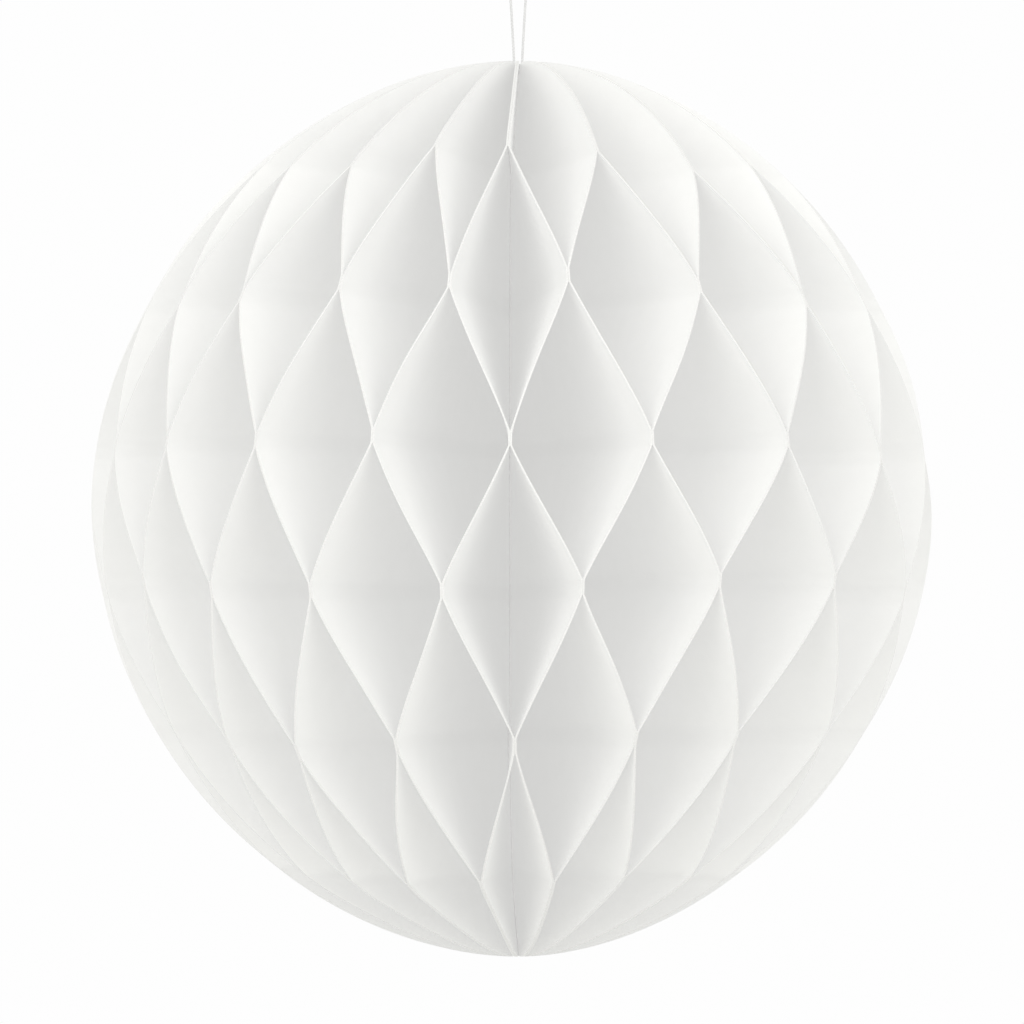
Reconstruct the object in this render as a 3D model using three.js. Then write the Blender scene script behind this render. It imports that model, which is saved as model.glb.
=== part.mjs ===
// A honeycomb paper ball that hangs on a thread. Thin paper leaves stand round an upright spine.
// Each leaf is glued to the next one along short level lines, on alternate rows, so the opened
// leaves zigzag and leave diamond cells between them.
// Millimetres, +Z up. The origin is the top of the thread's loop, where a hook would hold it.

import * as THREE from "three";

// The ball as a whole
const BALL_HEIGHT = 200;
const BALL_DIAMETER = 188;
const OFF_CENTRE = 1.4; // the leaves reach this much further on -X than the middle, and less on +X
const HANGING_HEIGHT = 20; // from the ball's top up to the top of the loop
const SHOULDER_EXPONENT = 1.89; // 2 is an ellipse; less makes the shoulders leaner
const POLE_EDGE = 1.5; // level edge that each leaf keeps at the poles, past its bend by the spine

// The leaves and their glue lines
const LEAF_COUNT = 40;
const LEAF_THICKNESS = 0.25;
const GLUE_FILM = 0.1; // between two leaves where they are glued
const FIRST_ROW_DROP = 25.3; // from the ball's top to the middle of the first glue line
const LAST_ROW_MARGIN = 12; // least room below the last glue line
const ROW_PITCH = 31.3;
const GLUE_STRIP = 3; // height of one glue line
const FRONT_TURN = THREE.MathUtils.degToRad(-0.9); // of the first glued pair, from -Y
const UNEVEN_SPREAD = THREE.MathUtils.degToRad(8.8); // the leaves crowd on -X and open on +X

// The cover cards at the seam, with the tape that joins them
const CARD_THICKNESS = 0.4;
const CARD_INSET = 0.5; // of the card's round edge behind the leaves' edges
const CARD_SETBACK = 10; // of its straight edge from the leaves' bend by the spine
const TAPE_THICKNESS = 0.2;
const TAPE_WIDTH = 9;
const TAPE_LENGTH = 130;
const TAPE_SETBACK = 6; // behind the cards' edges

// The spine, the knots and the thread
const SEAT_GAP = 0.3; // between pieces that only touch
const THREAD_DIAMETER = 0.6;
const KNOT_SWELL = 1.1; // the knotted thread is this much thicker
const THREAD_HALF_ROUTE = [
  [-0.93, -19.7],
  [-0.98, -18],
  [-1.07, -16],
  [-1.18, -14],
  [-1.3, -12],
  [-1.41, -10],
  [-1.53, -8],
  [-1.65, -6],
  [-1.74, -4.2],
  [-1.7, -2.6],
  [-1.2, -1.0],
]; // x and z of the left leg, from the knot up
const THREAD_APEX = [0, -THREAD_DIAMETER / 2];

// How finely curves are cut
const CAP_STEPS = 4; // from the outermost glue lines to the poles
const BEND_SHARE = 0.22; // share of a slanting wall that bends, at each end
const BEND_ROUNDNESS = 0.1; // 0 makes the walls straight, 1 makes them cosine waves
const CARD_STEPS = 24;
const TAPE_STEPS = 10;
const ROUND_SIDES = 12;
const THREAD_SIDES = 8;
const THREAD_STEPS = 30;
const KNOT_STEPS = 36;
const KNOT_SIDES = 6;

// The spine is just thick enough for the crowded leaves to stand round it without touching.
const PAIR_PITCH = LEAF_THICKNESS + GLUE_FILM;
const SPINE_RADIUS = (LEAF_COUNT * PAIR_PITCH) / (2 * Math.PI * (1 - UNEVEN_SPREAD));
const LEAF_INNER_RADIUS = SPINE_RADIUS + SEAT_GAP;

// Columns of glued pairs go round the spine from the front. They crowd on one side and open on
// the other, by one wave that closes on itself.
function columnAngle(column) {
  const even = (2 * Math.PI * column) / LEAF_COUNT;
  return FRONT_TURN + even + UNEVEN_SPREAD * (1 - Math.cos(even));
}

// The cards stand in one of the columns at the back, between the two leaves that meet there.
// Those leaves bend beside the spine to clear the cards, and past CLEARING_RADIUS the next leaves
// are far enough away to leave them room.
const SEAM_COLUMN = 2 * Math.round(LEAF_COUNT / 4);
const SEAM_ANGLE = columnAngle(SEAM_COLUMN);
const SEAM_STEP = Math.min(
  SEAM_ANGLE - columnAngle(SEAM_COLUMN - 1),
  columnAngle(SEAM_COLUMN + 1) - SEAM_ANGLE,
);
const CARD_OFFSET = TAPE_THICKNESS / 2 + GLUE_FILM; // from the seam's middle to a card's inner face
const SEAM_CLEARANCE = CARD_OFFSET + CARD_THICKNESS + GLUE_FILM / 2;
const CLEARING_RADIUS = (SEAM_CLEARANCE / 2 + PAIR_PITCH) / Math.sin(SEAM_STEP);
const CARD_INNER_RADIUS = CLEARING_RADIUS + CARD_SETBACK;

// The outline of a leaf is a superellipse that still has some width at the ball's top. Seen from
// above, the ball stands a little off its spine.
const HALF_HEIGHT = BALL_HEIGHT / 2;
const EQUATOR_RADIUS = BALL_DIAMETER / 2;
const POLE_RADIUS = CLEARING_RADIUS + POLE_EDGE;
const OUTLINE_HALF_HEIGHT =
  HALF_HEIGHT / (1 - (POLE_RADIUS / EQUATOR_RADIUS) ** SHOULDER_EXPONENT) ** (1 / SHOULDER_EXPONENT);

function outlineRadius(z, angle) {
  const share = Math.abs(z) / OUTLINE_HALF_HEIGHT;
  const reach = EQUATOR_RADIUS - OFF_CENTRE * Math.sin(angle);
  return reach * (1 - share ** SHOULDER_EXPONENT) ** (1 / SHOULDER_EXPONENT);
}

// Glue lines, from the top row down, with z counted from the ball's centre
const FIRST_ROW_Z = HALF_HEIGHT - FIRST_ROW_DROP;
const ROW_COUNT = 1 + Math.floor((BALL_HEIGHT - FIRST_ROW_DROP - LAST_ROW_MARGIN) / ROW_PITCH);
const LAST_ROW_Z = FIRST_ROW_Z - (ROW_COUNT - 1) * ROW_PITCH;

// Which way a leaf leans at a height: +1 on the first, third and fifth glue lines, -1 on the others.
// Past the outermost lines the glued pairs stay together up to the poles.
function lean(z) {
  const row = THREE.MathUtils.clamp((FIRST_ROW_Z - z) / ROW_PITCH, 0, ROW_COUNT - 1);
  const above = Math.min(Math.floor(row), ROW_COUNT - 2);
  const halfStrip = GLUE_STRIP / 2 / ROW_PITCH;
  const along = THREE.MathUtils.clamp((row - above - halfStrip) / (1 - 2 * halfStrip), 0, 1);
  const straight = 1 - 2 * along;
  const wave = Math.cos(Math.PI * along);
  const side = above % 2 === 0 ? 1 : -1;
  return side * THREE.MathUtils.lerp(straight, wave, BEND_ROUNDNESS);
}

// Heights at which a leaf's surface has points, from the bottom up
function leafHeights() {
  const heights = [];
  const capAngle = (z) => Math.acos(z / OUTLINE_HALF_HEIGHT);
  const cap = (from, to) => {
    for (let i = 1; i <= CAP_STEPS; i++) {
      const angle = THREE.MathUtils.lerp(capAngle(from), capAngle(to), i / CAP_STEPS);
      heights.push(OUTLINE_HALF_HEIGHT * Math.cos(angle));
    }
  };
  const wall = ROW_PITCH - GLUE_STRIP;
  heights.push(-HALF_HEIGHT);
  cap(-HALF_HEIGHT, LAST_ROW_Z - GLUE_STRIP / 2);
  for (let row = ROW_COUNT - 1; row >= 0; row--) {
    const stripTop = FIRST_ROW_Z - row * ROW_PITCH + GLUE_STRIP / 2;
    heights.push(stripTop);
    if (row > 0) {
      heights.push(stripTop + BEND_SHARE * wall);
      heights.push(stripTop + (1 - BEND_SHARE) * wall);
      heights.push(stripTop + wall);
    }
  }
  cap(FIRST_ROW_Z + GLUE_STRIP / 2, HALF_HEIGHT);
  return heights;
}

// One leaf, drawn facing -Y and turned to its middle angle later. It leans by halfStep to either side,
// its straight level lines run out from the spine, and half a glue film parts it from its neighbour.
// towards is +1 if it leans to larger angles on the first row. A leaf beside the cards also
// bends to stand clear of them.
function leafGeometry(middleAngle, halfStep, towards, besideCards) {
  const points = [];
  const heights = leafHeights();
  for (const z of heights) {
    const swing = towards * lean(z);
    const angle = swing * halfStep;
    const out = new THREE.Vector3(Math.sin(angle), -Math.cos(angle), 0);
    const across = new THREE.Vector3(Math.cos(angle), Math.sin(angle), 0);
    const edge = outlineRadius(z, middleAngle + angle);
    const bend = Math.min(CARD_INNER_RADIUS, (CLEARING_RADIUS + edge) / 2);
    const radii = besideCards ? [LEAF_INNER_RADIUS, bend, edge] : [LEAF_INNER_RADIUS, edge];
    points.push(
      radii.map((radius) => {
        const cardRoom = besideCards && radius > LEAF_INNER_RADIUS ? SEAM_CLEARANCE : 0;
        const pull = (-swing * PAIR_PITCH) / 2 - (towards * cardRoom * (1 + towards * swing)) / 2;
        const middle = out.clone().multiplyScalar(radius).addScaledVector(across, pull);
        middle.z = z;
        return [-1, 1].map((face) => middle.clone().addScaledVector(across, (face * LEAF_THICKNESS) / 2));
      }),
    );
  }
  return closedSheet(points);
}

// A thin closed body from points[height][radius][face]
function closedSheet(points) {
  const rows = points.length;
  const across = points[0].length;
  const index = (row, column, face) => 2 * (row * across + column) + face;
  const triangles = [];
  const quad = (a, b, c, d) => triangles.push(a, b, c, b, d, c);
  for (let row = 0; row + 1 < rows; row++) {
    for (let column = 0; column + 1 < across; column++) {
      const corners = (face) => [
        index(row, column, face),
        index(row + 1, column, face),
        index(row, column + 1, face),
        index(row + 1, column + 1, face),
      ];
      const [a, b, c, d] = corners(1);
      quad(a, b, c, d);
      const [e, f, g, h] = corners(0);
      triangles.push(e, g, f, f, g, h);
    }
    const rim = across - 1;
    quad(index(row, rim, 0), index(row, rim, 1), index(row + 1, rim, 0), index(row + 1, rim, 1));
    quad(index(row, 0, 1), index(row, 0, 0), index(row + 1, 0, 1), index(row + 1, 0, 0));
  }
  const top = rows - 1;
  for (let column = 0; column + 1 < across; column++) {
    const next = column + 1;
    quad(index(top, column, 0), index(top, next, 0), index(top, column, 1), index(top, next, 1));
    quad(index(0, column, 1), index(0, next, 1), index(0, column, 0), index(0, next, 0));
  }
  const geometry = new THREE.BufferGeometry().setFromPoints(points.flat(2));
  geometry.setIndex(triangles);
  geometry.computeVertexNormals();
  return geometry;
}

// A flat upright band between two radii that follow the height, as thick as given
function uprightBand(halfLength, steps, innerAt, outerAt, thickness) {
  const shape = new THREE.Shape();
  shape.moveTo(innerAt(-halfLength), -halfLength);
  for (let i = 0; i <= steps; i++) {
    const z = -halfLength * Math.cos((Math.PI * i) / steps);
    shape.lineTo(outerAt(z), z);
  }
  for (let i = 0; i < steps; i++) {
    const z = halfLength * Math.cos((Math.PI * i) / steps);
    if (i === 0 || innerAt(z) !== innerAt(halfLength)) {
      shape.lineTo(innerAt(z), z);
    }
  }
  return new THREE.ExtrudeGeometry(shape, { depth: thickness, bevelEnabled: false });
}

const PAPER = new THREE.MeshStandardMaterial({ color: 0xf3f3ee, roughness: 0.9, metalness: 0 });
const CARD = new THREE.MeshStandardMaterial({ color: 0xefeee8, roughness: 0.8, metalness: 0 });
const TAPE = new THREE.MeshStandardMaterial({ color: 0xe6e3d8, roughness: 0.5, metalness: 0 });
const THREAD = new THREE.MeshStandardMaterial({ color: 0xe9e9e6, roughness: 0.85, metalness: 0 });

function addMesh(parent, name, geometry, material) {
  const mesh = new THREE.Mesh(geometry, material);
  mesh.name = name;
  parent.add(mesh);
  return mesh;
}

function addLeaves(ball) {
  for (let leaf = 0; leaf < LEAF_COUNT; leaf++) {
    const middleAngle = (columnAngle(leaf) + columnAngle(leaf + 1)) / 2;
    const halfStep = (columnAngle(leaf + 1) - columnAngle(leaf)) / 2;
    const towards = leaf % 2 === 0 ? -1 : 1;
    const besideCards = leaf === SEAM_COLUMN - 1 || leaf === SEAM_COLUMN;
    const geometry = leafGeometry(middleAngle, halfStep, towards, besideCards);
    const name = "leaf_" + String(leaf + 1).padStart(2, "0");
    addMesh(ball, name, geometry, PAPER).rotation.z = middleAngle;
  }
}

// The seam's own frame has x running out from the spine and y up.
function addCards(ball) {
  const seam = new THREE.Group();
  seam.rotation.set(Math.PI / 2, 0, SEAM_ANGLE - Math.PI / 2, "ZYX");
  ball.add(seam);
  const cardEdge = (z) => outlineRadius(z, SEAM_ANGLE) - CARD_INSET;
  const cardInner = () => CARD_INNER_RADIUS;
  const slimShare = (CARD_INNER_RADIUS + POLE_EDGE + CARD_INSET) / EQUATOR_RADIUS;
  const cardHalfHeight =
    OUTLINE_HALF_HEIGHT * (1 - slimShare ** SHOULDER_EXPONENT) ** (1 / SHOULDER_EXPONENT);
  const card = uprightBand(cardHalfHeight, CARD_STEPS, cardInner, cardEdge, CARD_THICKNESS);
  addMesh(seam, "cover_card_left", card, CARD).position.z = CARD_OFFSET;
  addMesh(seam, "cover_card_right", card, CARD).position.z = -CARD_OFFSET - CARD_THICKNESS;
  const tapeOuter = (z) => cardEdge(z) - TAPE_SETBACK;
  const tapeInner = (z) => tapeOuter(z) - TAPE_WIDTH;
  const tape = uprightBand(TAPE_LENGTH / 2, TAPE_STEPS, tapeInner, tapeOuter, TAPE_THICKNESS);
  addMesh(seam, "joining_tape", tape, TAPE).position.z = -TAPE_THICKNESS / 2;
}

// The knots lie in the hollow at each pole, on the ends of the spine cord.
function addSpine(ball) {
  const knotTube = (KNOT_SWELL * THREAD_DIAMETER) / 2;
  const knotLoop = (SPINE_RADIUS - knotTube) / 1.5; // a torus knot reaches one and a half times its radius
  const knotHalfHeight = knotLoop / 2 + knotTube;
  const knot = new THREE.TorusKnotGeometry(knotLoop, knotTube, KNOT_STEPS, KNOT_SIDES);
  addMesh(ball, "top_knot", knot, THREAD).position.z = HALF_HEIGHT - knotHalfHeight;
  addMesh(ball, "bottom_knot", knot, THREAD).position.z = knotHalfHeight - HALF_HEIGHT;
  const spineLength = BALL_HEIGHT - 2 * (2 * knotHalfHeight + SEAT_GAP);
  const spine = new THREE.CylinderGeometry(SPINE_RADIUS, SPINE_RADIUS, spineLength, ROUND_SIDES);
  addMesh(ball, "spine_cord", spine, THREAD).rotation.x = Math.PI / 2;
}

function addThread(group) {
  const leftLeg = THREAD_HALF_ROUTE.map(([x, z]) => new THREE.Vector3(x, 0, z));
  const rightLeg = THREAD_HALF_ROUTE.map(([x, z]) => new THREE.Vector3(-x, 0, z)).reverse();
  const apex = new THREE.Vector3(THREAD_APEX[0], 0, THREAD_APEX[1]);
  const route = new THREE.CatmullRomCurve3([...leftLeg, apex, ...rightLeg]);
  const section = new THREE.Shape();
  for (let side = 0; side < THREAD_SIDES; side++) {
    const angle = (2 * Math.PI * side) / THREAD_SIDES;
    const x = (THREAD_DIAMETER / 2) * Math.cos(angle);
    const y = (THREAD_DIAMETER / 2) * Math.sin(angle);
    if (side === 0) {
      section.moveTo(x, y);
    } else {
      section.lineTo(x, y);
    }
  }
  const options = { extrudePath: route, steps: THREAD_STEPS, bevelEnabled: false };
  addMesh(group, "hanging_thread", new THREE.ExtrudeGeometry(section, options), THREAD);
}

const hangingBall = new THREE.Group();
const ball = new THREE.Group();
ball.position.z = -HANGING_HEIGHT - HALF_HEIGHT;
hangingBall.add(ball);
addLeaves(ball);
addCards(ball);
addSpine(ball);
addThread(hangingBall);

export default hangingBall;
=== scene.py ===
# %% [markdown]
# # A honeycomb paper ball
# A honeycomb ball is a flat pack of half discs of thin paper. Each sheet is glued to the next one along
# short level lines, and the lines on one side of a sheet fall halfway between those on its other side.
# When the pack is opened all the way round its spine, every sheet is pulled into a zigzag and the gaps
# become diamonds. This lesson dresses a finished engineering model of such a ball. The model gives the
# places, and Blender gives the fine form of the sheets, the twist of the threads, the finishes and the
# light.

# %% Load the frame and measure it
import math

import bpy
import numpy as np
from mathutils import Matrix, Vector


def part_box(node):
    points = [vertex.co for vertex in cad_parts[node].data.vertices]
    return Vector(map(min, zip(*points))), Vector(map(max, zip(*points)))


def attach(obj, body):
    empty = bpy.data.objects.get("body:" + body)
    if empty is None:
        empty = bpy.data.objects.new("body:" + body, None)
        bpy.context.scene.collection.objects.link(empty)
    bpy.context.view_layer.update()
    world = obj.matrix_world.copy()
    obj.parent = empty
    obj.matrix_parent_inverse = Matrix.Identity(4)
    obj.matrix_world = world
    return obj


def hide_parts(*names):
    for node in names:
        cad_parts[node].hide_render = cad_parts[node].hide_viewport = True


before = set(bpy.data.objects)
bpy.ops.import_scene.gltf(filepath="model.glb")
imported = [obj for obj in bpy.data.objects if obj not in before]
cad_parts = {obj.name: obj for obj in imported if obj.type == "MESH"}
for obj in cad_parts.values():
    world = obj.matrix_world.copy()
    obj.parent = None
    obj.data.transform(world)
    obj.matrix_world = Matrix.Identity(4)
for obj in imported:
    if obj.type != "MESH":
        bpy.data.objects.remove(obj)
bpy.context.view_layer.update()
LEAVES = sorted(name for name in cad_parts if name.startswith("leaf_"))
LEAF_COUNT = len(LEAVES)
BALL_TOP = max(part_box(name)[1].z for name in LEAVES)
BALL_BOTTOM = min(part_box(name)[0].z for name in LEAVES)
HALF_HEIGHT = (BALL_TOP - BALL_BOTTOM) / 2
CENTRE = Vector((0, 0, (BALL_TOP + BALL_BOTTOM) / 2))
print(f"{LEAF_COUNT} leaves, ball {2 * HALF_HEIGHT:.4f} m high, centred at z {CENTRE.z:.4f} m")

# %% [markdown]
# ## The camera
# The ball fills most of a square picture. The cells near the rim are seen almost edge on and the middle
# ones look straight in, which tells how far away the lens stood: about ten times the ball's radius. A
# long lens at that distance keeps the diamonds' proportions. The ball hangs a little above the lens, so
# the view looks up slightly. A small shift slides the picture without turning the camera, so upright
# lines stay upright.

# %% Make the camera
CAMERA_DISTANCE = 0.94
CAMERA_DROP = math.radians(1.67)
LENS_MM = 147.1
SHIFT = (-0.0060, -0.0037)

toward_camera = Vector((0, -math.cos(CAMERA_DROP), -math.sin(CAMERA_DROP)))
camera_data = bpy.data.cameras.new("camera")
camera_data.lens = LENS_MM
camera_data.shift_x, camera_data.shift_y = SHIFT
camera = bpy.data.objects.new("camera", camera_data)
camera.location = CENTRE + CAMERA_DISTANCE * toward_camera
camera.rotation_euler = (-toward_camera).to_track_quat("-Z", "Y").to_euler()
bpy.context.scene.collection.objects.link(camera)
bpy.context.scene.camera = camera
bpy.context.scene.view_settings.view_transform = "Standard"
print("camera at", [round(x, 4) for x in camera.location])

# %% [markdown]
# ## The hanging loop
# The ball hangs on one loop of white sewing thread. Both legs leave the knot at the ball's top, part
# slowly, and meet again in a round loop where a hook would hold it. The weight of the ball keeps the legs
# nearly straight. A curve could be drawn by hand, but points say more plainly where the thread is. So the
# route is a short list of points for one leg, mirrored for the other, and a Catmull-Rom curve rounds it
# off.

# %% Route the thread
THREAD_DIAMETER = 0.0006
THREAD_STEPS_PER_SPAN = 16
LEFT_LEG = (
    (-0.00093, -0.0197),
    (-0.00098, -0.0180),
    (-0.00107, -0.0160),
    (-0.00118, -0.0140),
    (-0.00130, -0.0120),
    (-0.00141, -0.0100),
    (-0.00153, -0.0080),
    (-0.00165, -0.0060),
    (-0.00174, -0.0042),
    (-0.00170, -0.0026),
    (-0.00120, -0.0010),
)  # x and z of the left leg, from the knot up
APEX = (0.0, -THREAD_DIAMETER / 2)


def catmull_rom(points, steps):
    """A smooth curve through the points, with that many steps between two of them."""
    points = np.asarray(points, float)
    ends = np.vstack([2 * points[0] - points[1], points, 2 * points[-1] - points[-2]])
    share = np.linspace(0, 1, steps, endpoint=False)[:, None]
    spans = []
    for a, b, c, d in zip(ends, ends[1:], ends[2:], ends[3:]):
        cubic = (2 * a - 5 * b + 4 * c - d) * share**2 + (3 * b - a - 3 * c + d) * share**3
        spans.append((2 * b + (c - a) * share + cubic) / 2)
    return np.vstack([*spans, points[-1:]])


right_leg = [(-x, z) for x, z in reversed(LEFT_LEG)]
thread_points = [(x, 0.0, z) for x, z in (*LEFT_LEG, APEX, *right_leg)]
thread_route = catmull_rom(thread_points, THREAD_STEPS_PER_SPAN)

# %% [markdown]
# ## Twisted thread
# Thread is spun from plies that wind round each other, and under a lens that twist is what tells it from
# wire. A curve with a round bevel would look like wire, and separate ply curves would cut into each
# other. Here one closed skin is swept along the route: its section is the outline of a ring of plies
# pressed against each other, and the section turns as it goes.

# %% Outline a ring of plies
THREAD_PLIES = 3
SIDES_PER_PLY = 8
PLY_PRESS = 1.23  # how much wider a ply is than one that just touches its neighbours


def plied_outline(plies, sides):
    """Section angles and radii of plies side by side in a ring, for a cord of radius 1."""
    half = math.pi / plies
    ply = PLY_PRESS * math.sin(half) / (1 + math.sin(half))
    off = 1 - ply
    angles = np.linspace(0, 2 * math.pi, sides, endpoint=False)
    lobe = (angles + half) % (2 * half) - half
    radii = off * np.cos(lobe) + np.sqrt(ply**2 - (off * np.sin(lobe)) ** 2)
    return angles, radii


thread_radii = plied_outline(THREAD_PLIES, THREAD_PLIES * SIDES_PER_PLY)[1]
print(f"the thread's grooves lie at {thread_radii.min():.2f} of its radius")

# %% Follow a route without twisting
AWAY_FROM_ROUTES = (0.3, 0.9, 0.1)  # a direction that no route starts in


def route_frames(route, closed):
    """Unit tangents along a route and two normals that turn as little as they can."""
    if closed:
        tangents = np.roll(route, -1, axis=0) - np.roll(route, 1, axis=0)
    else:
        tangents = np.gradient(route, axis=0)
    tangents /= np.linalg.norm(tangents, axis=1)[:, None]
    normal = np.cross(tangents[0], AWAY_FROM_ROUTES)
    normals = []
    for tangent in tangents:
        normal = normal - tangent * (normal @ tangent)
        normal /= np.linalg.norm(normal)
        normals.append(normal)
    normals = np.array(normals)
    return tangents, normals, np.cross(tangents, normals)


thread_tangents = route_frames(thread_route, closed=False)[0]
thread_bend = math.degrees(math.acos(thread_tangents[0] @ thread_tangents[-1]))
print(f"the thread turns by {thread_bend:.0f} degrees between its ends")

# %% Make a mesh object
SHARP_EDGE = math.radians(40)


def mesh_object(name, points, faces):
    """A smooth-shaded mesh object in the scene, with its sharp edges kept crisp."""
    mesh = bpy.data.meshes.new(name)
    mesh.from_pydata(np.asarray(points).reshape(-1, 3).tolist(), [], faces)
    mesh.shade_smooth()
    mesh.set_sharp_from_angle(angle=SHARP_EDGE)
    made = bpy.data.objects.new(name, mesh)
    bpy.context.scene.collection.objects.link(made)
    return made


print(f"edges sharper than {math.degrees(SHARP_EDGE):.0f} degrees stay crisp")

# %% Sweep the plies along a route


def twisted_cord(name, route, diameter, lay_length, plies=THREAD_PLIES, closed=False):
    """A closed skin of twisted plies along a route of points; lay_length is one full turn."""
    route = np.asarray(route, float)
    _, normals, binormals = route_frames(route, closed)
    steps = np.linalg.norm(np.diff(route, axis=0), axis=1)
    along = np.concatenate([[0], np.cumsum(steps)])
    turn = 2 * math.pi * along / lay_length
    count = len(route)
    if closed:
        # The twist takes up what the frame misses by after one round, so that the plies meet.
        whole = along[-1] + np.linalg.norm(route[0] - route[-1])
        miss = math.atan2(normals[-1] @ binormals[0], normals[-1] @ normals[0])
        turns = round(whole / lay_length * plies) / plies
        turn = (2 * math.pi * turns - miss) * along / whole
    sides = SIDES_PER_PLY * plies
    angles, radii = plied_outline(plies, sides)
    spin = angles[None, :] + turn[:, None]
    rings = route[:, None] + (diameter / 2) * radii[None, :, None] * (
        np.cos(spin)[..., None] * normals[:, None] + np.sin(spin)[..., None] * binormals[:, None]
    )
    faces = []
    for i in range(count if closed else count - 1):
        for j in range(sides):
            a, b = i * sides + j, i * sides + (j + 1) % sides
            c, d = (i + 1) % count * sides + j, (i + 1) % count * sides + (j + 1) % sides
            faces.append((a, b, d, c))
    if not closed:
        faces.append(tuple(reversed(range(sides))))
        faces.append(tuple(range((count - 1) * sides, count * sides)))
    made = mesh_object(name, rings, faces)
    print(f"{name}: {along[-1]:.4f} m of route, {len(faces)} faces")
    return made


print(SIDES_PER_PLY * THREAD_PLIES, "sides round the thread")

# %% Sweep the thread
THREAD_LAY = 0.0022

hanging_thread = twisted_cord("thread_loop", thread_route, THREAD_DIAMETER, THREAD_LAY)
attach(hanging_thread, "root")
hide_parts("hanging_thread")

# %% [markdown]
# ## Where the glue lines stand
# Seen from above, the glued pairs stand in columns round the spine. They aren't spaced quite evenly: the
# ball was opened by hand, so the columns crowd a little on one side. Every column takes every second row,
# and its neighbours take the rows between. A real glue line also sits a millimetre or two high or low,
# and that small disorder is what keeps the diamonds from looking drawn by a machine. On the side that is
# seen, each slip is judged one by one. All round the rest, a seeded random draw gives the same disorder
# on every run.

# %% Place the columns and rows
FRONT_TURN = math.radians(-0.9)
UNEVEN_SPREAD = math.radians(8.8)
FIRST_ROW_DROP = 0.0253
ROW_PITCH = 0.0313
ROW_COUNT = 6
GLUE_STRIP = 0.003
SEAM_COLUMN = LEAF_COUNT // 2
FIRST_ROW_Z = HALF_HEIGHT - FIRST_ROW_DROP


def column_turn(column):
    """Angle of a column round the spine, from the front towards +X."""
    even = 2 * math.pi * column / LEAF_COUNT
    return FRONT_TURN + even + UNEVEN_SPREAD * (1 - math.cos(even))


print(f"columns {math.degrees(column_turn(1) - column_turn(0)):.1f} degrees apart at the front")

# %% Let the glue lines slip
TURN_SLIP = 0.6
LIFT_SLIP = 1.0
SLIP_SEED = 12
SEEN_SLIPS = {
    (-4, 0): (1.5, -2.0),
    (-2, 0): (1.4, 1.9),
    (0, 0): (-1.2, 1.6),
    (2, 0): (-1.5, 0.5),
    (4, 0): (-1.0, -3.0),
    (-3, 1): (0.7, 1.3),
    (-1, 1): (0.0, 1.1),
    (1, 1): (-1.0, 2.4),
    (3, 1): (0.1, 0.8),
    (5, 1): (0.4, -0.6),
    (-4, 2): (0.0, -0.3),
    (-2, 2): (0.0, 0.2),
    (0, 2): (-0.1, -0.6),
    (2, 2): (-0.4, -0.2),
    (4, 2): (0.5, 0.0),
    (6, 2): (0.0, -2.2),
    (-5, 3): (-0.3, 0.2),
    (-3, 3): (-0.5, 0.0),
    (-1, 3): (0.1, -0.2),
    (1, 3): (0.0, 0.6),
    (3, 3): (-0.2, 2.1),
    (5, 3): (0.0, 2.3),
    (-4, 4): (-0.7, -2.3),
    (-2, 4): (0.0, -0.8),
    (0, 4): (0.4, -0.5),
    (2, 4): (0.3, 0.7),
    (4, 4): (-1.5, 0.6),
    (-3, 5): (0.1, -1.2),
    (-1, 5): (1.1, -0.4),
    (1, 5): (0.1, -0.2),
    (3, 5): (-1.7, 0.4),
}  # (column, row): degrees towards +X and millimetres up, judged on the side that is seen

draw = np.random.default_rng(SLIP_SEED)
slips = draw.normal(0, 1, (LEAF_COUNT, ROW_COUNT, 2)) * (TURN_SLIP, LIFT_SLIP)
for (column, row), slip in SEEN_SLIPS.items():
    slips[column % LEAF_COUNT, row] = slip
slips[SEAM_COLUMN] = 0
turn_slips = np.radians(slips[..., 0])
lift_slips = slips[..., 1] / 1000
print(f"glue lines slip by up to {abs(lift_slips).max() * 1000:.1f} mm")

# %% [markdown]
# ## The outline of a leaf
# The sheets are die-cut, so all share one outline. It is not quite a circle: the shoulders are leaner, as
# a superellipse with an exponent just under 2 gives. Opened by hand, the ball reaches a little further on
# one side, and its lower right leans in. The leaves stop short of the axis, where their straight edges
# are bound to a cord, and a short level edge is left at both poles.

# %% Measure the middle and the seam
CAD_LEAF_THICKNESS = 0.00025
GLUE_FILM = 0.0001
PAIR_PITCH = CAD_LEAF_THICKNESS + GLUE_FILM
SPINE_RADIUS = LEAF_COUNT * PAIR_PITCH / (2 * math.pi * (1 - UNEVEN_SPREAD))
SEWN_IN = 0.0001
LEAF_INNER_RADIUS = SPINE_RADIUS - SEWN_IN

CARD_THICKNESS = 0.0004
TAPE_THICKNESS = 0.0002
CARD_OFFSET = TAPE_THICKNESS / 2 + GLUE_FILM
SEAM_CLEARANCE = CARD_OFFSET + CARD_THICKNESS + GLUE_FILM / 2
SEAM_ANGLE = column_turn(SEAM_COLUMN)
seam_steps = (SEAM_ANGLE - column_turn(SEAM_COLUMN - 1), column_turn(SEAM_COLUMN + 1) - SEAM_ANGLE)
CLEARING_RADIUS = (SEAM_CLEARANCE / 2 + PAIR_PITCH) / math.sin(min(seam_steps))
print(f"spine {2000 * SPINE_RADIUS:.1f} mm thick, room for cards {1000 * CLEARING_RADIUS:.1f} mm out")

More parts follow.
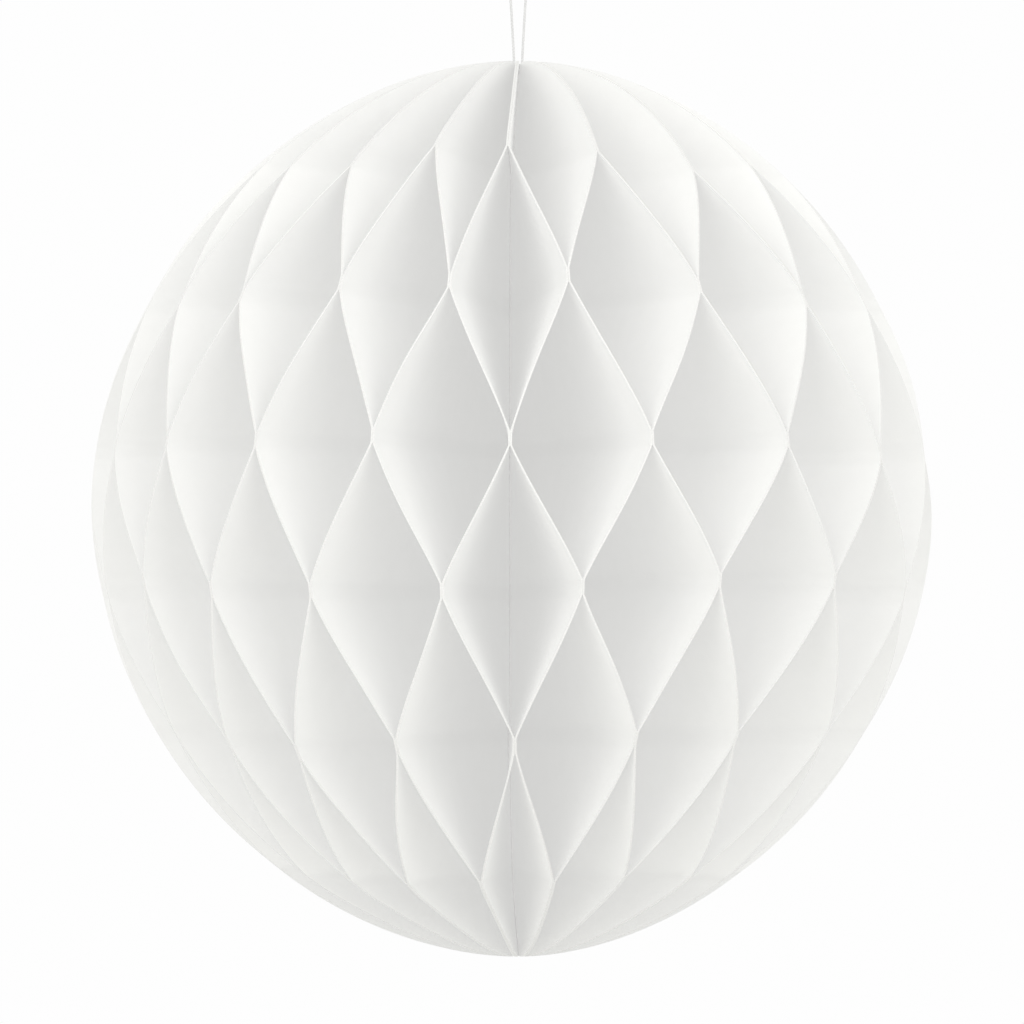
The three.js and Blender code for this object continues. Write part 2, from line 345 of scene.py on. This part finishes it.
# %% Work out the outline
EQUATOR_RADIUS = 0.094
OFF_CENTRE = 0.0014
LOWER_RIGHT_LEAN = 0.0045
LEAN_FADE = 3
SHOULDER = 1.89
POLE_EDGE = 0.0015
pole_share = (CLEARING_RADIUS + POLE_EDGE) / EQUATOR_RADIUS
OUTLINE_HALF_HEIGHT = HALF_HEIGHT / (1 - pole_share**SHOULDER) ** (1 / SHOULDER)


def outline_radius(z, angle):
    """How far a leaf reaches from the spine, at a height above the ball's centre."""
    low = np.clip(-z / HALF_HEIGHT, 0, 1) ** LEAN_FADE
    lean = LOWER_RIGHT_LEAN * np.clip(np.sin(angle), 0, 1) * low
    reach = EQUATOR_RADIUS - OFF_CENTRE * np.sin(angle) - lean
    return reach * (1 - (np.abs(z) / OUTLINE_HALF_HEIGHT) ** SHOULDER) ** (1 / SHOULDER)


print(f"a leaf reaches {outline_radius(0.0, 0.0) * 1000:.1f} mm at the middle")

# %% [markdown]
# ## The spine's bow
# The spine is a limp cord, and between its ends it stands about two millimetres off the ball's axis. A
# lattice round the finished leaves could bend it, but would move their rims as well. Here every point
# goes along with the spine by a share, which is nearly whole beside the cord and nothing at the rim.

# %% Bow the limp spine
SPINE_BOW = -0.0019
BOW_FLATNESS = 6


def spine_offset(z):
    """How far the spine stands off the ball's axis along X, at a height above the centre."""
    return SPINE_BOW * (1 - (z / HALF_HEIGHT) ** BOW_FLATNESS)


def bowed(points):
    """The points moved along with the spine: nearly all the way beside it, and not at the rims."""
    height = points[..., 2] - CENTRE.z
    angle = np.arctan2(points[..., 0], -points[..., 1])
    share = np.hypot(points[..., 0], points[..., 1]) / outline_radius(height, angle)
    moved = points.copy()
    moved[..., 0] += spine_offset(height) * np.clip(1 - share, 0, 1)
    return moved


print(f"the spine bows by {abs(spine_offset(0.0)) * 1000:.1f} mm")

# %% [markdown]
# ## One leaf
# A leaf runs from glue line to glue line and swaps sides at each one. Between two lines its rim is a
# straight edge, with a soft bend where it leaves the glue. A straight edge between two points at
# different radii isn't an even turn round the spine, so the swing follows the chord, with a little of a
# cosine mixed in. Level lines on the sheet stay straight from the spine to the rim, which makes each wall
# a ruled surface. A simulation would find the same shape slowly; a formula for the points is exact and
# quick. Past the outermost glue lines the free tips turn by a few degrees at the top and gather towards
# the front at the bottom. Each free wall bellies a little, as tissue does, and that fades to nothing at
# the glue lines and the spine.

# %% Choose the heights of a leaf's points
WALL_STEPS = 16
CAP_STEPS = 16
HEIGHT_STEPS = 2 * CAP_STEPS + (ROW_COUNT - 1) * (WALL_STEPS + 1) + 2


def cap_heights(start, end):
    """Heights between a pole and the nearest glue line, closer together towards the pole."""
    angles = np.arccos(np.array([start, end]) / OUTLINE_HALF_HEIGHT)
    return OUTLINE_HALF_HEIGHT * np.cos(np.linspace(*angles, CAP_STEPS + 1))


def leaf_heights(row_z):
    """Heights of a leaf's points from the bottom up, with both ends of every glue line among them."""
    low, high = row_z - GLUE_STRIP / 2, row_z + GLUE_STRIP / 2
    runs = [cap_heights(-HALF_HEIGHT, low[-1])]
    for row in range(ROW_COUNT - 1, 0, -1):
        runs.append(np.linspace(high[row], low[row - 1], WALL_STEPS + 1))
    runs.append(cap_heights(high[0], HALF_HEIGHT))
    return np.concatenate(runs)


print(f"{HEIGHT_STEPS} heights to a leaf")

# %% Find where a leaf stands at each height
BEND_ROUNDNESS = 0.1
BELLY = 0.0002
BELLY_SEED = 5
TOP_TWIST = 5.0  # degrees at the tips
FRONT_TWISTS = {0: 1.5, 2: 1.0}  # degrees at two columns of the front
BOTTOM_GATHER = math.radians(21)
GATHER_TOWARDS = math.radians(5)
belly_draw = np.random.default_rng(BELLY_SEED).normal(0, BELLY, (LEAF_COUNT, ROW_COUNT))


def leaf_stance(leaf):
    """Height, angle, side (-1 to +1) and belly of a leaf, level by level."""
    columns = [leaf + (leaf + row) % 2 for row in range(ROW_COUNT)]
    knots = [column % LEAF_COUNT for column in columns]
    base = np.array([column_turn(column) for column in columns])
    turns = np.array([turn_slips[knot, row] for row, knot in enumerate(knots)])
    lifts = np.array([lift_slips[knot, row] for row, knot in enumerate(knots)])
    row_z = FIRST_ROW_Z - ROW_PITCH * np.arange(ROW_COUNT) + lifts
    heights = leaf_heights(row_z)
    sides = np.array([1.0 if column > leaf else -1.0 for column in columns])
    above = np.clip(np.searchsorted(-row_z, -heights, side="right") - 1, 0, ROW_COUNT - 2)
    span = row_z[above] - row_z[above + 1] - GLUE_STRIP
    along = np.clip((row_z[above] - GLUE_STRIP / 2 - heights) / span, 0, 1)
    standing = base + turns
    rim = outline_radius(row_z, standing)
    straight = rim[above + 1] * along / (rim[above] * (1 - along) + rim[above + 1] * along)
    wave = (1 - np.cos(math.pi * along)) / 2
    share = straight + (wave - along) * BEND_ROUNDNESS
    angle = standing[above] + (standing[above + 1] - standing[above]) * share
    side = sides[above] + (sides[above + 1] - sides[above]) * share
    to_top = np.clip((heights - row_z[0]) / (HALF_HEIGHT - row_z[0]), 0, 1)
    to_bottom = np.clip((row_z[-1] - heights) / (HALF_HEIGHT + row_z[-1]), 0, 1)
    at_front = (1 + np.cos(angle)) / 2
    twist = math.radians(FRONT_TWISTS.get(knots[0], TOP_TWIST))
    angle += at_front * (twist * to_top - BOTTOM_GATHER * np.sin(angle - GATHER_TOWARDS) * to_bottom)
    belly = belly_draw[leaf, above] * np.sin(math.pi * along) ** 2
    return heights, angle, side, belly


first_angle = leaf_stance(0)[1]
print(f"leaf 1 swings {math.degrees(np.ptp(first_angle)):.1f} degrees")

# %% [markdown]
# ## A leaf's body
# Tissue is far thinner than a pixel, so each leaf is a closed body of about a quarter of a millimetre
# instead. A Solidify modifier gives one thickness all over. Here it changes: it is a little more at the
# rim, where the cut edge catches the light as a line, and at the spine, where the leaves have to close
# the ring round the cord. So both faces and all four edges are laid out point by point.

# %% Join the points of a thin closed body


def sheet_faces(rows, columns):
    """Quads of a thin closed body whose points are ordered by row, column and face."""
    def at(row, column, face):
        return 2 * (row * columns + column) + face

    faces = []
    for i in range(rows - 1):
        for j in range(columns - 1):
            for face, order in ((1, 1), (0, -1)):
                ring = [at(i, j, face), at(i + 1, j, face), at(i + 1, j + 1, face), at(i, j + 1, face)]
                faces.append(tuple(ring[::order]))
        for j, order in ((columns - 1, 1), (0, -1)):
            ring = [at(i, j, 0), at(i, j, 1), at(i + 1, j, 1), at(i + 1, j, 0)]
            faces.append(tuple(ring[::order]))
    for j in range(columns - 1):
        for i, order in ((rows - 1, 1), (0, -1)):
            ring = [at(i, j, 0), at(i, j + 1, 0), at(i, j + 1, 1), at(i, j, 1)]
            faces.append(tuple(ring[::order]))
    return faces


RADIUS_STEPS = 18
LEAF_FACES = sheet_faces(HEIGHT_STEPS, RADIUS_STEPS)
print(f"{len(LEAF_FACES)} faces to a leaf")

# %% Place the points of a leaf
SPINE_EDGE = 0.00031
SHEET = 0.00027
RIM_EDGE = 0.00038
EDGE_FADE = 6
BOND = 0.00002


def leaf_points(leaf):
    """Points of one leaf by height, radius and face."""
    heights, angle, side, belly = leaf_stance(leaf)
    share = np.linspace(0, 1, RADIUS_STEPS)[None, :]
    edge = outline_radius(heights, angle)[:, None]
    radius = LEAF_INNER_RADIUS + (edge - LEAF_INNER_RADIUS) * share
    beside_cards = leaf in (SEAM_COLUMN - 1, SEAM_COLUMN)
    towards = 1 if leaf % 2 else -1
    card_room = SEAM_CLEARANCE * (radius > LEAF_INNER_RADIUS) if beside_cards else 0
    at_rim, at_spine = share**EDGE_FADE, (1 - share) ** EDGE_FADE
    thickness = SHEET + (RIM_EDGE - SHEET) * at_rim + (SPINE_EDGE - SHEET) * at_spine
    pull = -side[:, None] * (thickness + BOND) / 2
    pull = pull - towards * card_room * (1 + towards * side[:, None]) / 2
    pull = pull + belly[:, None] * share**2
    out = np.stack([np.sin(angle), -np.cos(angle)], axis=-1)[:, None, :]
    across = np.stack([np.cos(angle), np.sin(angle)], axis=-1)[:, None, :]
    points = np.empty((HEIGHT_STEPS, RADIUS_STEPS, 2, 3))
    for face, offset in ((0, -thickness / 2), (1, thickness / 2)):
        points[:, :, face, :2] = out * radius[..., None] + across * (pull + offset)[..., None]
    points[..., 2] = CENTRE.z + heights[:, None, None]
    return bowed(points)


print(f"{leaf_points(0).size // 3} points to a leaf")

# %% [markdown]
# ## Tissue paper
# White tissue throws back nearly all the light that falls on it and lets a little through, so a wall
# glows faintly when the cell behind it is lit. The shader mixes a rough white surface with a translucent
# one. The translucent one has a tenth: with more, the doubled strips at the glue lines would show as grey
# bands. The detail is quiet: cloudy formation where the fibres lie thicker or thinner, a fine tooth in
# the bump, and a faint grey band where each glue line has soaked in. All of it comes from the object's
# own coordinates.

# %% Helpers for shader nodes


def add(tree, kind, settings=None, sockets=None):
    """A new shader node. Sockets given as sockets are linked, and other values are set on the node."""
    made = tree.nodes.new("ShaderNode" + kind)
    for name, value in (settings or {}).items():
        setattr(made, name, value)
    for key, value in (sockets or {}).items():
        if isinstance(value, bpy.types.NodeSocket):
            tree.links.new(value, made.inputs[key])
        else:
            made.inputs[key].default_value = value
    return made


def new_material(name):
    """An empty node material with its output, and the object coordinates of the surface."""
    material = bpy.data.materials.new(name)
    material.use_nodes = True
    tree = material.node_tree
    tree.nodes.clear()
    output = add(tree, "OutputMaterial")
    coordinates = add(tree, "TexCoord").outputs["Object"]
    return material, tree, output, coordinates


def noise(tree, coordinates, scale, detail, roughness=0.5):
    """A noise texture's value at the coordinates."""
    sockets = {"Vector": coordinates, "Scale": scale, "Detail": detail, "Roughness": roughness}
    return add(tree, "TexNoise", None, sockets).outputs[0]


def stretch(tree, value, low, high):
    """A value stretched so that low becomes 0 and high becomes 1."""
    sockets = {"Value": value, "From Min": low, "From Max": high}
    return add(tree, "MapRange", None, sockets).outputs[0]


def mix_colours(tree, factor, first, second):
    """A colour that runs from the first to the second as the factor goes from 0 to 1."""
    made = add(tree, "Mix", {"data_type": "RGBA"}, {0: factor, 6: first, 7: second})
    return made.outputs[2]


def raised(tree, height, strength, distance):
    """The surface's normal, tilted by the slopes of a height."""
    sockets = {"Strength": strength, "Distance": distance, "Height": height}
    return add(tree, "Bump", None, sockets).outputs[0]


print("helpers for shader nodes are ready")

# %% Mix the tissue
PAPER_THICK = (0.983, 0.983, 0.988, 1)
PAPER_THIN = (0.973, 0.973, 0.978, 1)
PAPER_GLUED = (0.968, 0.968, 0.973, 1)
PAPER_THROUGH = (0.978, 0.978, 0.983, 1)
THROUGH_SHARE = 0.1
GLUE_FEATHER = 0.0006
GLUE_TINT = 0.5


def glue_bands(tree, coordinates):
    """How much a glue line has soaked the paper, by the height alone."""
    height = add(tree, "SeparateXYZ", None, {0: coordinates}).outputs["Z"]
    from_row = add(tree, "Math", {"operation": "SUBTRACT"}, {0: height, 1: CENTRE.z + FIRST_ROW_Z})
    to_row = add(tree, "Math", {"operation": "PINGPONG"}, {0: from_row.outputs[0], 1: ROW_PITCH / 2})
    band = {
        "Value": to_row.outputs[0],
        "From Min": GLUE_STRIP / 2 + GLUE_FEATHER,
        "From Max": GLUE_STRIP / 2 - GLUE_FEATHER,
        "To Max": GLUE_TINT,
    }
    return add(tree, "MapRange", {"interpolation_type": "SMOOTHSTEP"}, band).outputs[0]


def tissue_paper():
    material, tree, output, coordinates = new_material("leaf_paper")
    cloud = noise(tree, coordinates, scale=210, detail=4, roughness=0.6)
    formation = stretch(tree, cloud, low=0.35, high=0.65)
    sheet = mix_colours(tree, formation, PAPER_THIN, PAPER_THICK)
    colour = mix_colours(tree, glue_bands(tree, coordinates), sheet, PAPER_GLUED)
    tooth = noise(tree, coordinates, scale=2400, detail=3, roughness=0.7)
    normal = raised(tree, tooth, strength=0.25, distance=0.00006)
    face = {"Base Color": colour, "Roughness": 0.9, "Specular IOR Level": 0.15, "Normal": normal}
    reflecting = add(tree, "BsdfPrincipled", None, face)
    passing = add(tree, "BsdfTranslucent", None, {"Color": PAPER_THROUGH, "Normal": normal})
    shares = {0: THROUGH_SHARE, 1: reflecting.outputs[0], 2: passing.outputs[0]}
    paper = add(tree, "MixShader", None, shares)
    tree.links.new(paper.outputs[0], output.inputs[0])
    return material


LEAF_PAPER = tissue_paper()
print("leaf paper has", len(LEAF_PAPER.node_tree.nodes), "nodes")

# %% [markdown]
# ## The cut edge
# The die cuts through the fibres, so the rim of a leaf shows their ends. It is the same paper as the
# faces, but its white is painted darker, as painted shade: with the paper's own white the lit rim would
# be the brightest line in the picture and clip. The rim's faces come at fixed places in the list of
# faces, so counting picks them out, and a second material slot takes them.

# %% Paint shade on the cut edge
# Darker copies of the paper's white: painted shade, so that the lit rim does not clip.
RIM_SHADE_PALE = (0.87, 0.87, 0.875, 1)
RIM_SHADE_DARK = (0.79, 0.79, 0.795, 1)
FACES_PER_LEVEL = 2 * RADIUS_STEPS  # the last two are the rim's and the spine's
RIM_FACES = range(FACES_PER_LEVEL - 2, FACES_PER_LEVEL * (HEIGHT_STEPS - 1), FACES_PER_LEVEL)


def shaded_rim_paper():
    material, tree, output, coordinates = new_material("shaded_rim_paper")
    fibre_ends = noise(tree, coordinates, scale=3000, detail=3, roughness=0.7)
    spread = stretch(tree, fibre_ends, low=0.35, high=0.65)
    colour = mix_colours(tree, spread, RIM_SHADE_DARK, RIM_SHADE_PALE)
    normal = raised(tree, fibre_ends, strength=0.3, distance=0.00005)
    face = {"Base Color": colour, "Roughness": 0.95, "Specular IOR Level": 0.1, "Normal": normal}
    edge = add(tree, "BsdfPrincipled", None, face)
    tree.links.new(edge.outputs[0], output.inputs[0])
    return material


SHADED_RIM_PAPER = shaded_rim_paper()
print(len(RIM_FACES), "rim faces to a leaf")

# %% Make all the leaves
for number, node in enumerate(LEAVES):
    leaf_piece = mesh_object("paper_" + node, leaf_points(number), LEAF_FACES)
    leaf_piece.data.materials.append(LEAF_PAPER)
    leaf_piece.data.materials.append(SHADED_RIM_PAPER)
    for face in RIM_FACES:
        leaf_piece.data.polygons[face].material_index = 1
    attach(leaf_piece, "root")
    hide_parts(node)
print(f"{LEAF_COUNT} leaves of {len(LEAF_FACES)} faces each")

# %% [markdown]
# ## Cover cards and tape
# The first and last sheets of the flat pack are thin card. Opened all the way round, the two cards meet
# back to back, and a strip of double-sided tape holds them together. A Boolean could cut them from a
# disc, but leaves uneven faces. Each piece is a flat band between two edges, so a thin closed body with a
# row of points for each height gives its round edge in even quads.

# %% Lay a flat band in the seam


def seam_band(name, z, inner, outer, middle, thickness):
    """A flat band in the seam's plane, from its inner to its outer edge, middle away from the plane."""
    out = np.array([math.sin(SEAM_ANGLE), -math.cos(SEAM_ANGLE), 0])
    across = np.array([math.cos(SEAM_ANGLE), math.sin(SEAM_ANGLE), 0])
    points = np.empty((len(z), 2, 2, 3))
    for column, radius in ((0, inner), (1, outer)):
        for face, half in ((0, -thickness / 2), (1, thickness / 2)):
            points[:, column, face] = out * radius[:, None] + across * (middle + half)
    points[..., 2] = CENTRE.z + z[:, None, None]
    made = mesh_object(name, bowed(points), sheet_faces(len(z), 2))
    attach(made, "root")
    print(f"{name}: {z[-1] - z[0]:.4f} m high")
    return made


print(f"the seam stands {math.degrees(SEAM_ANGLE):.1f} degrees round from the front")

# %% Make the cards
CARD_SETBACK = 0.010
CARD_INSET = 0.0005
CARD_STEPS = 96
CARD_INNER_RADIUS = CLEARING_RADIUS + CARD_SETBACK


def card_edge(z):
    """How far a card reaches from the spine, at a height above the ball's centre."""
    return outline_radius(z, SEAM_ANGLE) - CARD_INSET


slim_share = (CARD_INNER_RADIUS + POLE_EDGE + CARD_INSET) / EQUATOR_RADIUS
card_half_height = OUTLINE_HALF_HEIGHT * (1 - slim_share**SHOULDER) ** (1 / SHOULDER)
card_z = -card_half_height * np.cos(np.linspace(0, math.pi, CARD_STEPS))
straight_edge = np.full(CARD_STEPS, CARD_INNER_RADIUS)
round_edge = card_edge(card_z)
card_middle = CARD_OFFSET + CARD_THICKNESS / 2
card_left = seam_band("card_left", card_z, straight_edge, round_edge, -card_middle, CARD_THICKNESS)
card_right = seam_band("card_right", card_z, straight_edge, round_edge, card_middle, CARD_THICKNESS)
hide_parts("cover_card_left")
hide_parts("cover_card_right")

# %% Make the tape
TAPE_LENGTH = 0.130
TAPE_WIDTH = 0.009
TAPE_SETBACK = 0.006
TAPE_STEPS = 40

tape_z = np.linspace(-TAPE_LENGTH / 2, TAPE_LENGTH / 2, TAPE_STEPS)
tape_outer = card_edge(tape_z) - TAPE_SETBACK
tape = seam_band("tape_strip", tape_z, tape_outer - TAPE_WIDTH, tape_outer, 0, TAPE_THICKNESS)
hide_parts("joining_tape")

# %% [markdown]
# ## Card and tape finishes
# Card is pressed from the same fibres as tissue but is opaque and smoother, with a slightly warm tone and
# a soft mottle, which one noise gives to both the colour and the bump. Double-sided tape is a pale film,
# a little yellow, with tiny bubbles where it lies against the card, and a Voronoi texture scatters them.

# %% Mix the card and the tape
CARD_PALE = (0.900, 0.895, 0.870, 1)
CARD_WARM = (0.845, 0.838, 0.805, 1)
TAPE_CLEAR = (0.80, 0.78, 0.70, 1)
TAPE_BUBBLE = (0.88, 0.87, 0.83, 1)


def pressed_card():
    material, tree, output, coordinates = new_material("cover_card")
    mottle = noise(tree, coordinates, scale=340, detail=5, roughness=0.65)
    spread = stretch(tree, mottle, low=0.3, high=0.7)
    colour = mix_colours(tree, spread, CARD_WARM, CARD_PALE)
    normal = raised(tree, mottle, strength=0.2, distance=0.00005)
    face = {"Base Color": colour, "Roughness": 0.7, "Specular IOR Level": 0.3, "Normal": normal}
    card = add(tree, "BsdfPrincipled", None, face)
    tree.links.new(card.outputs[0], output.inputs[0])
    return material


def sticky_tape():
    material, tree, output, coordinates = new_material("tape")
    bubbles = add(tree, "TexVoronoi", None, {"Vector": coordinates, "Scale": 900})
    edge = stretch(tree, bubbles.outputs["Distance"], low=0.15, high=0.35)
    colour = mix_colours(tree, edge, TAPE_BUBBLE, TAPE_CLEAR)
    normal = raised(tree, edge, strength=0.3, distance=0.00004)
    face = {"Base Color": colour, "Roughness": 0.45, "Normal": normal}
    film = add(tree, "BsdfPrincipled", None, face)
    tree.links.new(film.outputs[0], output.inputs[0])
    return material


COVER_CARD = pressed_card()
card_left.data.materials.append(COVER_CARD)
card_right.data.materials.append(COVER_CARD)
tape.data.materials.append(sticky_tape())
print("cards and tape are dressed")

# %% [markdown]
# ## Spine and knots
# The straight edges of the leaves are bound to a thick cord, and the thread is knotted at both of its
# ends. All of them are twisted threads, so the same sweep makes them: the spine is a bowed cord of twelve
# strands, and a knot is the thread led round a trefoil, the simplest curve that is truly knotted.

# %% Make the spine
SPINE_PLIES = 12
SPINE_LAY = 0.030
SPINE_STEPS = 360

spine_low, spine_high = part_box("spine_cord")
spine_z = np.linspace(spine_low.z, spine_high.z, SPINE_STEPS)
spine_route = [(spine_offset(z - CENTRE.z), 0, z) for z in spine_z]
spine = twisted_cord("spine_rope", spine_route, 2 * SPINE_RADIUS, SPINE_LAY, SPINE_PLIES)
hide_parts("spine_cord")

# %% Tie the knots
KNOT_SWELL = 1.1
KNOT_THREAD = KNOT_SWELL * THREAD_DIAMETER
KNOT_STEPS = 240
KNOT_LAY = 0.0024
TREFOIL_TURNS, TREFOIL_LOBES = 2, 3
TREFOIL_REACH = 1.5  # of its middle circle's radius

knot_radius = (SPINE_RADIUS - KNOT_THREAD / 2) / TREFOIL_REACH
around = np.linspace(0, 2 * math.pi, KNOT_STEPS, endpoint=False)
swell = knot_radius * (2 + np.cos(TREFOIL_LOBES * around)) / 2
rise = knot_radius * np.sin(TREFOIL_LOBES * around) / 2
winding = TREFOIL_TURNS * around
trefoil = np.stack([swell * np.cos(winding), swell * np.sin(winding), rise])
thread_pieces = [hanging_thread, spine]
for node in ("top_knot", "bottom_knot"):
    low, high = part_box(node)
    route = trefoil.T + np.array([0, 0, (low.z + high.z) / 2])
    knot = twisted_cord("tied_" + node, route, KNOT_THREAD, KNOT_LAY, closed=True)
    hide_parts(node)
    thread_pieces.append(knot)

# %% [markdown]
# ## Cotton
# Cotton thread is matt. The fibres run along the plies, so the noise is stretched, and a little sheen
# stands for the loose fibre ends that catch the light. The hanging thread and its knots are white cotton
# painted grey, as painted shade for thread seen against bright white. The spine's cotton stays near
# white.

# %% Mix the cotton and dress the threads
# These greys are painted shade on white cotton thread.
THREAD_SHADE_PALE = (0.84, 0.84, 0.85, 1)
THREAD_SHADE_GREY = (0.66, 0.66, 0.67, 1)
SPINE_LIGHT = (0.95, 0.95, 0.955, 1)
SPINE_GREY = (0.89, 0.89, 0.895, 1)
ALONG_FIBRES = (1, 1, 0.25)


def cotton(name, grooves, plies):
    """Matt cotton whose colour runs from the first colour to the second by a noise stretched along the
    fibres.
    """
    material, tree, output, coordinates = new_material(name)
    stretched = add(tree, "Mapping", None, {"Vector": coordinates, "Scale": ALONG_FIBRES})
    fibre = noise(tree, stretched.outputs[0], scale=9000, detail=3)
    spread = stretch(tree, fibre, low=0.3, high=0.7)
    colour = mix_colours(tree, spread, grooves, plies)
    normal = raised(tree, fibre, strength=0.4, distance=0.00003)
    face = {"Base Color": colour, "Roughness": 0.9, "Specular IOR Level": 0.2, "Normal": normal}
    face["Sheen Weight"] = 0.2
    fibres = add(tree, "BsdfPrincipled", None, face)
    tree.links.new(fibres.outputs[0], output.inputs[0])
    return material


PAINTED_SHADE_COTTON = cotton("thread", THREAD_SHADE_GREY, THREAD_SHADE_PALE)
SPINE_COTTON = cotton("spine_cotton", SPINE_GREY, SPINE_LIGHT)
for piece in thread_pieces:
    piece.data.materials.append(SPINE_COTTON if piece is spine else PAINTED_SHADE_COTTON)
for piece in thread_pieces[1:]:
    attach(piece, "root")
print(len(thread_pieces), "thread pieces are dressed")

# %% [markdown]
# ## Floor and light
# The ball hangs in a white studio. Soft light comes from everywhere, and four softboxes round the ball, a
# little above it, give every side the same relief: the walls are palest by the rims, and each cell
# darkens towards the spine. The background is white because camera rays see a white world, while the
# light that reaches the paper keeps a plain level. A stronger lamp would whiten the background too, but
# would bleach the paper.

# %% Lay the floor
FLOOR_DROP = 0.28
FLOOR_RADIUS = 1.5
FLOOR_SIDES = 96
FLOOR_PALE = (0.80, 0.80, 0.79, 1)
FLOOR_DULL = (0.77, 0.77, 0.76, 1)

ring = np.linspace(0, 2 * math.pi, FLOOR_SIDES, endpoint=False)
floor_z = np.full(FLOOR_SIDES, BALL_BOTTOM - FLOOR_DROP)
floor_points = np.stack([FLOOR_RADIUS * np.cos(ring), FLOOR_RADIUS * np.sin(ring), floor_z], axis=1)
floor = mesh_object("floor", floor_points, [tuple(range(FLOOR_SIDES))])
floor_material, floor_tree, floor_output, floor_coordinates = new_material("floor_paint")
floor_cloud = noise(floor_tree, floor_coordinates, scale=6, detail=3)
floor_colour = mix_colours(floor_tree, floor_cloud, FLOOR_DULL, FLOOR_PALE)
floor_paint = add(floor_tree, "BsdfPrincipled", None, {"Base Color": floor_colour, "Roughness": 0.85})
floor_tree.links.new(floor_paint.outputs[0], floor_output.inputs[0])
floor.data.materials.append(floor_material)
print("floor at z", round(float(floor_z[0]), 3))

# %% Light the studio
WORLD_LIGHT = 0.88
WARMTH = (1, 1, 0.965)
BACKGROUND = (0.99, 0.99, 0.99)

world = bpy.data.worlds.new("studio")
world.use_nodes = True
sky = world.node_tree
sky.nodes.clear()
seen = add(sky, "LightPath")
in_view = seen.outputs["Is Camera Ray"]
for ray in ("Is Glossy Ray", "Is Transmission Ray"):
    in_view = add(sky, "Math", {"operation": "MAXIMUM"}, {0: in_view, 1: seen.outputs[ray]}).outputs[0]
lighting = add(sky, "Background", None, {"Color": (*WARMTH, 1), "Strength": WORLD_LIGHT})
backdrop = add(sky, "Background", None, {"Color": (*BACKGROUND, 1), "Strength": 1.0})
chosen = add(sky, "MixShader", None, {0: in_view, 1: lighting.outputs[0], 2: backdrop.outputs[0]})
add(sky, "OutputWorld", None, {0: chosen.outputs[0]})
bpy.context.scene.world = world
print("the world lights at", WORLD_LIGHT)

# %% Hang the softboxes
SOFTBOX_POWER = 4.2
SOFTBOX_SIZE = 1.2
SOFTBOX_ASIDE, SOFTBOX_AHEAD, SOFTBOX_UP = 0.8, 1.2, 0.45

softbox_data = bpy.data.lights.new("softbox", "AREA")
softbox_data.shape = "SQUARE"
softbox_data.size = SOFTBOX_SIZE
softbox_data.energy = SOFTBOX_POWER
softbox_data.color = WARMTH
corners = [(across, along) for along in (-1, 1) for across in (-1, 1)]
for across, along in corners:
    place = Vector((across * SOFTBOX_ASIDE, along * SOFTBOX_AHEAD, SOFTBOX_UP))
    softbox = bpy.data.objects.new("softbox", softbox_data)
    softbox.location = CENTRE + place
    softbox.rotation_euler = (-place).to_track_quat("-Z", "Y").to_euler()
    bpy.context.scene.collection.objects.link(softbox)
print(len(corners), "softboxes round the ball")

# %% [markdown]
# ## Light inside white paper
# Between walls of white tissue the light bounces dozens of times before it gets out, so even the cells'
# depths stay pale. Following every bounce takes very long. After a few bounces the light has lost its
# direction, so Cycles can stop there and take a share of the world's light for the rest. Its Fast GI
# setting does that, and the short reach keeps the stand-in light from darkening the narrow gaps by the
# spine.

# %% Shorten the bounces
BOUNCES_FOLLOWED = 3
STAND_IN_SHARE = 0.79
STAND_IN_REACH = 0.00005

light_paths = bpy.context.scene.cycles
light_paths.use_fast_gi = True
light_paths.fast_gi_method = "REPLACE"
light_paths.ao_bounces_render = BOUNCES_FOLLOWED
world.light_settings.distance = STAND_IN_REACH
world.light_settings.ao_factor = STAND_IN_SHARE
print(BOUNCES_FOLLOWED, "bounces are followed")
